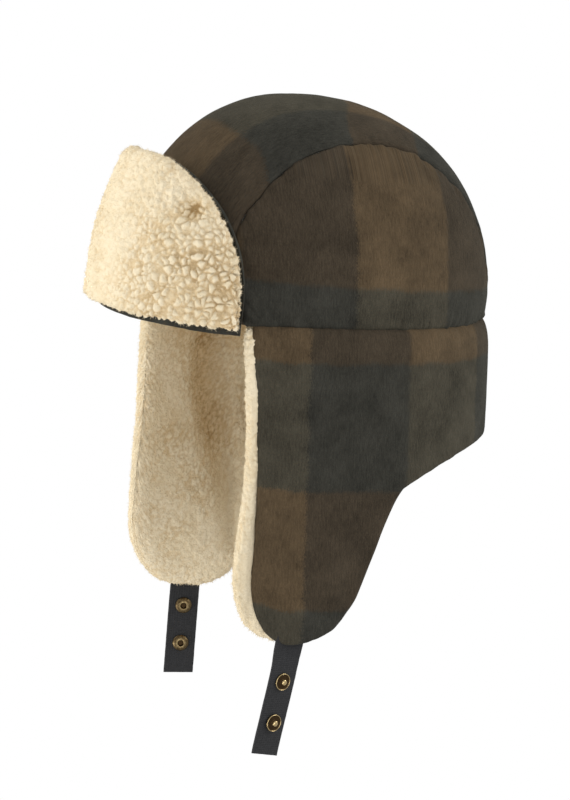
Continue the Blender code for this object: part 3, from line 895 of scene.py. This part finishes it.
def front_folds(cloth):
    """Shallow folds near the flap's front edge and round its lower end."""
    x, y, z = cloth.points.T
    low = smooth((-95 - z) / 60)
    broad = 0.9 * clouds(vec(y, 0.35 * z, 0.0), 17.0, 77)
    narrow = 0.5 * clouds(vec(y, 0.2 * z, x * 0.1), 8.0, 78)
    return (broad + narrow) * low * 0.9


def roll_parting(points):
    return 0.8 + 0.3 * clouds(points, 25.0, 91)


def far_fold(column, drop, ahead, width, start, fade, stop, end):
    """A fold down the far flap, `ahead` of its middle, that rises from `start` and is gone at `end`."""
    across = bump((column - FAR_FOLD_PLACE - ahead) / width)
    return across * smooth((drop - start) / fade) * (1 - smooth((drop - stop) / (end - stop)))


def fold_out(side, column, drop):
    """How far the wall's soft folds carry it outward. The far flap has one long fold down its middle."""
    if side == "left":
        low = smooth((drop - 70) / 70)
        return 1.3 * low * clouds(vec(column, 0.3 * drop, 0.0), 24.0, 79) * smooth((column - 150) / 40)
    drift = FAR_FOLD_DRIFT * np.sin(drop / 33.0)
    upper = far_fold(column, drop, drift, 19.0, 2, 15, 85, 130)
    ridge = far_fold(column, drop, drift - 24, 16.0, 10, 20, 90, 150)
    lower = far_fold(column, drop, -6, 12.0, 100, 20, 150, 170)
    waves = 1.2 * clouds(vec(column, 0.4 * drop, 0.0), 26.0, 80) * smooth(drop / 30)
    return 9.0 * upper - 4.0 * ridge + 5.0 * lower + waves


# The check's columns and rows against places along and down the wall, with their boundaries at 82, 146 and
# 212 mm along the cloth, and 20, 96 and 168 mm down it
CHECK_PLACES = (0.0, 82.0, 146.0, 212.0, 260.0)
CHECK_COLUMNS = (-45.0, 33.0, 99.0, 165.0, 213.0)
CHECK_DROPS = (0.0, 20.0, 96.0, 168.0, 195.0)
CHECK_ROWS = (17.0, 37.0, 111.0, 185.0, 212.0)


def wall_uv(base):
    def uv(along, across):
        column = along * base
        drop = wall_bottom(column, base) * across
        u = np.interp(column, CHECK_PLACES, CHECK_COLUMNS)
        return np.stack([u, np.interp(drop, CHECK_DROPS, CHECK_ROWS)], axis=-1)

    return uv


def make_wall_wool(side, seed, wool):
    us, vs = stations(SHELL_FRONT, 1.25, 5.0), stations(150.0, 1.25, 5.0)
    seams = (
        ("first_row", 4.2, 2.2, 0.4),
        ("last_row", 3.0, 1.7, 0.2),
        ("last_column", 3.0, 1.7, 0.2),
        ("first_column", 2.6, 2.1, 0.3),
    )
    surface = wall_surface(side, SHELL_FRONT, -0.4, WOOL_AHEAD[side], 3.2)
    name, size = f"flap_and_neck_wool_{side}", (SHELL_FRONT, 150.0)
    uv = wall_uv(SHELL_FRONT)
    cloth = wool_cloth(name, surface, WOOL_OFFS, us, vs, uv, seams, size, seed, front_folds)
    piece = cloth.make(wool, "plaid_wool")
    bend_with_flap(piece, side)
    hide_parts(f"neck_guard_shell_{side}", f"earflap_shell_{side}")
    declare_sheet(cloth)


def far_flap_painted_shade(cloth):
    """Painted shade on the far flap's pile: in its long fold, and a painted shadow under the brim."""
    u, drop = cloth.uv[:, 0], -cloth.points[:, 2]
    column = np.interp(u, CHECK_COLUMNS, CHECK_PLACES)
    painted_fold_shade = far_fold(column, drop, FAR_FOLD_DRIFT * np.sin(drop / 33.0), 21.0, 0, 20, 80, 140)
    painted_under_brim_shadow = (1 - smooth((drop - 20) / 32)) * smooth((u - 75) / 50) * (1 - smooth((u - 178) / 14))
    return np.maximum(0.46 * painted_fold_shade, 0.5 * painted_under_brim_shadow) * cloth.on_front


def make_wall_pile(side, seed, pile):
    hung = wall_surface(side, LINING_FRONT, 1.0, PILE_AHEAD[side])

    def surface(along, across, off):
        roll = smooth((along * LINING_FRONT - 240.0) / 4.0)
        mid = -(WALL_THICKNESS + 2.85) / 2
        lifted = off + 3.2 * roll * (off - mid) / (-2.85 - mid)
        return hung(along, across, np.where(off > mid, lifted, off))

    us, vs = stations(LINING_FRONT, 1.0, 9.0), stations(150.0, 1.0, 9.0)
    tall = 1.55 if side == "left" else 1.3
    offsets, edges = (WALL_PILE_BACK, -WALL_THICKNESS), (5.0, 9.0)
    name = f"flap_and_neck_pile_{side}"
    cloth, hollow = pile_cloth(
        name, surface, offsets, us, vs, wall_uv(LINING_FRONT), 3.0, tall, seed, edges, None, roll_parting
    )
    # Painted shade between the curls: half of it on the left wall, 0.68 of it on the right, where the far
    # flap also gets painted shade in its fold and a painted shadow under the brim
    hollow = hollow * 0.5 if side == "left" else hollow * 0.68 + far_flap_painted_shade(cloth)
    piece = cloth.make(pile, "sherpa_pile", hollow=hollow)
    bend_with_flap(piece, side)
    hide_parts(f"neck_guard_lining_{side}", f"earflap_lining_{side}")
    weight = 0.10 * cloth.on_front + cloth.edge
    name = f"flap_and_neck_pile_fibres_{side}"
    fuzz = fibres(cloth, name, 12000, 1.4, pile, "sherpa_pile", seed + 1, weight, hollow)
    bend_with_flap(fuzz, side)
    declare_sheet(cloth)


def bend_with_flap(piece, side):
    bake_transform(piece)


# ---- brim


BRIM_SIZE = (240.0, 84.0)
BRIM_DENT = 2.6


def bend_with_brim(piece, *cad_nodes):
    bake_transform(piece)
    if cad_nodes:
        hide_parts(*cad_nodes)


def facing_uv(along, across):
    return np.stack([240 * along, 84 * across], axis=-1)


def snap_places():
    """Where the brim's snaps draw its pile in."""
    rise = np.array(math.asin((BRIM_SNAP_HEIGHT / CROWN_HEIGHT) ** (RISE_POWER / 2)))
    for side in (1, -1):
        turn = np.array(math.radians(-90 + side * BRIM_SNAP_TURN))
        yield crown_point(turn, rise, 0.0) + 16.0 * crown_outward(turn, rise)


def brim_dents(cloth):
    total = np.zeros(len(cloth.points))
    for spot in snap_places():
        apart = np.linalg.norm((cloth.points - spot) * (1.0, 1.0, 1.35), axis=1)
        total = total - BRIM_DENT * bump(apart / 14.0)
    return total * cloth.on_front


def brim_parting(points):
    """The curls part wider towards the brim's lower corners, which also deepens the painted shade between
    them there.
    """
    x, _, z = points.T
    return 0.64 + 0.6 * smooth((np.abs(x) - 12) / 45) * smooth((78 - z) / 45)


def make_brim_pile(pile):
    us, vs = 0.005 + 0.99 * stations(240.0, 0.85, 6.0), stations(84.0, 0.8, 6.0)
    cloth, hollow = pile_cloth(
        "brim_pile", brim_point, FACING_OFFS, us, vs, facing_uv, 4.5, 1.8, 300, (2.2, 3.6),
        brim_dents, brim_parting,
    )
    # Painted shade in the dents where the snaps draw the pile in: darker between the curls there, and darker
    # as a whole
    tarnish_and_dent_shade = -brim_dents(cloth) / BRIM_DENT
    hollow = np.clip(hollow * (0.75 + 1.1 * tarnish_and_dent_shade) + 0.42 * tarnish_and_dent_shade, 0.0, 1.1)
    piece = cloth.make(pile, "sherpa_pile", hollow=hollow)
    bend_with_brim(piece, "brim_facing")
    weight = 0.12 * cloth.on_front + cloth.edge * (0.15 + 0.85 * smooth(cloth.points[:, 2] / 16))
    fuzz = fibres(cloth, "brim_pile_fibres", 10000, 1.3, pile, "sherpa_pile", 301, weight, hollow)
    bend_with_brim(fuzz)
    declare_sheet(cloth)


def backing_uv(along, across):
    """The dark green of the check, all over."""
    return np.stack([20 * along, 66 + 16 * across], axis=-1)


def backing(along, across, off):
    """The brim's wool, a little larger than its pile, with a lip below it. Its edge is turned in."""
    lip = 1 - smooth(across * 8)
    from_edge = np.minimum(84 * (1 - across), 240 * np.minimum(along, 1 - along))
    turned_in = 3.2 * (1 - smooth((from_edge - 1.5) / 3)) * (off - BACKING_OFFS[0]) / 2.2
    return brim_point(along, across, off + turned_in, 1.6) + vec(0.0, 0.0, -3.9 * lip)


def make_brim_backing(wool, felt):
    us, vs = 0.005 + 0.99 * stations(240.0, 1.8, 4.0), stations(84.0, 1.8, 4.0)
    seams = (("last_row", 2.0, 1.0, 0.1), ("first_row", 2.0, 1.0, 0.1))
    cloth = wool_cloth("brim_wool", backing, BACKING_OFFS, us, vs, backing_uv, seams, BRIM_SIZE, 310)
    piece = cloth.make(wool, "plaid_wool")
    bend_with_brim(piece, "brim_backing")
    declare_sheet(cloth)

    us, vs, offs = 0.07 + 0.86 * us, 0.05 + 0.84 * vs, BRIM_INTERLINING_OFFS
    cloth = wool_cloth("brim_stiffener", brim_point, offs, us, vs, facing_uv, (), BRIM_SIZE, 320)
    piece = cloth.make(felt, "interlining")
    bend_with_brim(piece, "brim_interlining")
    declare_sheet(cloth)


# ---- straps and snaps


def strap_frame(side):
    """Top centre of a strap, and its outward and downward directions."""
    sign = 1.0 if side == "left" else -1.0
    tip = hanging_point(np.array(STRAP_PLACE), np.array(FLAP_TIP_DROP), STRAP_INSET, side)
    top = Vector((float(tip[0]), float(tip[1]), float(tip[2]) - STRAP_DROP))
    facing_back, lean = math.radians(STRAP_FACING[side]), math.radians(STRAP_LEAN[side])
    outward = Vector((sign * math.cos(facing_back), math.sin(facing_back), 0.0))
    forward = Vector((sign * math.sin(facing_back), -math.cos(facing_back), 0.0))
    down = forward * math.sin(lean) + Vector((0.0, 0.0, -math.cos(lean)))
    return top, outward, down


STRAP_TAIL = 7.0


def make_strap(side, webbing):
    top, outward, down = strap_frame(side)
    length = STRAP_LENGTH[side]
    sideways = outward.cross(down)
    turn, ripple = (7.0, 0.4) if side == "left" else (-5.0, 0.3)

    def ribbon(along, across, off):
        run = -STRAP_TAIL + (length + STRAP_TAIL) * along
        twist = np.radians(turn * (1 - smooth((run + 2) / 16)))
        sway = 0.5 * np.sin(run / 13.0) * smooth(run / 12) + ripple * line_noise(run, 16.0, 7)
        width = STRAP_WIDTH * (across - 0.5)
        cut = 0.9 * (across - 0.5) * smooth((run - length + 8) / 8)
        edge = off + sway
        x = width * np.cos(twist) - edge * np.sin(twist)
        y = width * np.sin(twist) + edge * np.cos(twist)
        place = np.array(top) + np.expand_dims(run + cut, -1) * np.array(down)
        return place + np.expand_dims(x, -1) * np.array(sideways) + np.expand_dims(y, -1) * np.array(outward)

    us, vs = stations(length + STRAP_TAIL, 1.0, 1.5), stations(STRAP_WIDTH, 0.8, 1.4)
    across, along = np.meshgrid(vs, us, indexing="ij")
    middle = ribbon(along, across, np.zeros_like(along))
    distance = border_distance(middle, *ALL_SIDES)
    half = STRAP_THICKNESS / 2 * (0.35 + 0.65 * rounded(distance, 1.0))
    half = half * np.clip(distance / 0.15, 0.0, 1.0)
    uv = np.stack([STRAP_WIDTH * across, (length + STRAP_TAIL) * along], axis=-1)
    faces = (ribbon(along, across, half), ribbon(along, across, -half))
    cloth = Cloth(f"strap_webbing_{side}", *faces, uv)
    cloth.runs = runs(middle)
    cloth.push(0.06 * clouds(cloth.points, 2.0, 5))
    piece = cloth.make(webbing, "webbing")
    start, end = (top - down * 3.0) * METRE, (top + down * 5.0) * METRE
    tuple(start)
    tuple(end)
    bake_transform(piece)
    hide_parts(f"chin_strap_{side}")
    declare_sheet(cloth, level=1.0)


TURNED_SIDES = 48


def turned(name, profile, look, centre, facing, wear):
    """A closed profile of (radius, height) points, turned about its axis, which points along `facing`."""
    points = [np.array(point, float) for point in profile]
    softened = [points[0]]
    for before, here, after in zip(points, points[1:], points[2:]):
        middle = here + ((before + after) / 2 - here) * 0.16
        softened += [here + (before - here) * 0.28, middle, here + (after - here) * 0.28]
    softened.append(points[-1])
    angles = np.linspace(0, 2 * math.pi, TURNED_SIDES, endpoint=False)
    vertices, rings, values = [], [], []
    for radius, height in softened:
        start, count = len(vertices), TURNED_SIDES if radius > 1e-6 else 1
        vertices.extend((radius * math.cos(a), radius * math.sin(a), height) for a in angles[:count])
        rings.append([start + i % count for i in range(TURNED_SIDES)])
        values.extend([wear(radius, height)] * count)
    faces = []
    for low, high in zip(rings, rings[1:]):
        for i in range(TURNED_SIDES):
            j = (i + 1) % TURNED_SIDES
            faces.append(list(dict.fromkeys((low[i], low[j], high[j], high[i]))))
    turn = Vector(facing).to_track_quat("Z", "Y").to_matrix()
    vertices = [turn @ Vector(vertex) + Vector(centre) for vertex in vertices]
    return new_piece(name, vertices, faces, look, "snap_brass", wear=values)


# Profiles of the snaps, from the axis round to it, as radii and heights above the webbing's middle
STUD = (
    (0.0, 3.2), (0.9, 3.1), (1.5, 2.8), (1.8, 2.3), (1.6, 1.8), (1.4, 1.4), (1.8, 0.9), (4.2, 0.75),
    (4.6, 1.1), (4.9, 1.35), (5.15, 1.1), (SNAP_RADIUS, 0.7), (SNAP_RADIUS, 0.35), (0.0, 0.35),
)
SOCKET = (
    (0.0, 0.75), (1.6, 0.75), (1.75, 1.2), (1.8, 2.1), (2.1, 2.45), (2.6, 2.5), (3.9, 2.1), (4.8, 1.5),
    (5.2, 0.95), (SNAP_RADIUS, 0.35), (0.0, 0.35),
)


def capped_rivet(dome):
    """The back of a snap: a low dome, with its post through the webbing."""
    crown = [(0.0, 1.0), (2.0, 0.95), (4.0, 0.7), (SNAP_RADIUS, 0.2)]
    post = [(SNAP_RADIUS, 0.35), (2.1, 0.35), (2.1, -2.0), (0.0, -2.0)]
    return [(radius, 0.35 + dome * share) for radius, share in crown] + post


def stud_wear(radius, height):
    if height > 2.0:
        return 0.75
    return 1.0 if 4.7 < radius < 5.2 and height > 1.0 else 0.05


def socket_wear(radius, height):
    return 0.32 if 1.9 < radius < 3.0 else (0.2 if radius > 3.0 else 0.0)


def cap_wear(radius, height):
    return 0.5


def make_snaps(brass):
    sides = (
        ("left", 1, ("stud", STUD, stud_wear), ("post", capped_rivet(1.1), cap_wear)),
        ("right", -1, ("socket", SOCKET, socket_wear), ("cap", capped_rivet(2.2), cap_wear)),
    )
    for side, sign, *halves in sides:
        top, outward, down = strap_frame(side)
        for level, from_end in (("upper", STRAP_END + SNAP_SPACING), ("lower", STRAP_END)):
            centre = top + down * (STRAP_LENGTH[side] - from_end)
            for facing, (kind, profile, wear) in zip((outward * sign, outward * -sign), halves):
                name = f"snap_{kind}_on_{side}_strap_{level}"
                piece = turned(name, profile, brass, centre + facing, facing, wear)
                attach(piece, f"strap_{side}")
                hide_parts(f"snap_{kind}_{side}_{level}")


# ---- light and camera


CAMERA_AZIMUTH, CAMERA_ELEVATION, CAMERA_ROLL, CAMERA_DISTANCE = 63.0, 8.25, 4.9, 1.5
# The picture's height in the steps that its shifts are given in
PICTURE_STEPS = 800


def direction(azimuth, elevation):
    """The way from the hat towards an azimuth from its front, round its left side, and an elevation."""
    azimuth, elevation = math.radians(azimuth), math.radians(elevation)
    level = math.cos(elevation)
    return Vector((math.sin(azimuth) * level, -math.cos(azimuth) * level, math.sin(elevation)))


def make_camera():
    back = direction(CAMERA_AZIMUTH, CAMERA_ELEVATION)
    right = direction(CAMERA_AZIMUTH + 90, 0.0)
    up = back.cross(right)
    roll = math.radians(CAMERA_ROLL)
    turned_right = right * math.cos(roll) + up * math.sin(roll)
    turned_up = up * math.cos(roll) - right * math.sin(roll)
    camera = bpy.data.cameras.new("camera")
    camera.lens = 109.35
    camera.sensor_width = 36.0
    camera.shift_x = -13 / PICTURE_STEPS
    camera.shift_y = -95.5 / PICTURE_STEPS
    camera.clip_start = 0.05
    made = bpy.data.objects.new("camera", camera)
    turn = Matrix((turned_right, turned_up, back)).transposed().to_4x4()
    made.matrix_world = Matrix.Translation(back * CAMERA_DISTANCE) @ turn
    bpy.context.scene.collection.objects.link(made)
    bpy.context.scene.camera = made


LIGHTS_CENTRE = Vector((0.0, 0.0, -0.03))
# Name, azimuth, elevation, distance, size, power, colour
LIGHTS = (
    ("key", -40, 28, 1.7, 0.9, 16.0, (1.0, 0.985, 0.95)),
    ("fill", 78, -4, 1.8, 1.3, 11.0, (1.0, 1.0, 1.0)),
    ("back", 148, 32, 1.7, 1.0, 14.0, (1.0, 1.0, 1.0)),
    ("low", -2, -30, 1.6, 0.9, 12.0, (1.0, 0.99, 0.96)),
)


def make_light():
    scene = bpy.context.scene
    scene.view_settings.view_transform = "Standard"
    world = bpy.data.worlds.new("studio")
    scene.world = world
    world.use_nodes = True
    tree = world.node_tree
    background = tree.nodes["Background"]
    seen = node(tree, "LightPath").outputs["Is Camera Ray"]
    colour = mix_of(tree, seen, (0.55, 0.55, 0.55), (1.0, 1.0, 1.0))
    tree.links.new(colour, background.inputs["Color"])
    background.inputs["Strength"].default_value = 1.0
    for name, azimuth, elevation, distance, size, power, colour in LIGHTS:
        light = bpy.data.lights.new(name, "AREA")
        light.shape = "DISK"
        light.size = size
        light.energy = power
        light.color = colour
        made = bpy.data.objects.new(name, light)
        away = direction(azimuth, elevation)
        made.location = LIGHTS_CENTRE + distance * away
        made.rotation_euler = (-away).to_track_quat("-Z", "Y").to_euler()
        scene.collection.objects.link(made)


def main():
    wool, pile, felt = make_wool(), make_pile(), make_felt()
    webbing, brass = make_webbing(), make_brass()
    make_crown_wool(wool)
    make_crown_pile(pile)
    for side, seed in (("left", 100), ("right", 200)):
        make_wall_wool(side, seed, wool)
        make_wall_pile(side, seed + 50, pile)
    make_brim_pile(pile)
    make_brim_backing(wool, felt)
    for side in ("left", "right"):
        make_strap(side, webbing)
    make_snaps(brass)
    kept = [(f"crown_interlining_{side}", felt) for side in ("centre", "left", "right")]
    kept += [(f"brim_snap_{kind}_{side}", brass) for kind in ("stud", "socket") for side in ("left", "right")]
    for name, look in kept:
        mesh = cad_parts[name].data
        mesh.materials.clear()
        mesh.materials.append(look)
    make_camera()
    make_light()


main()
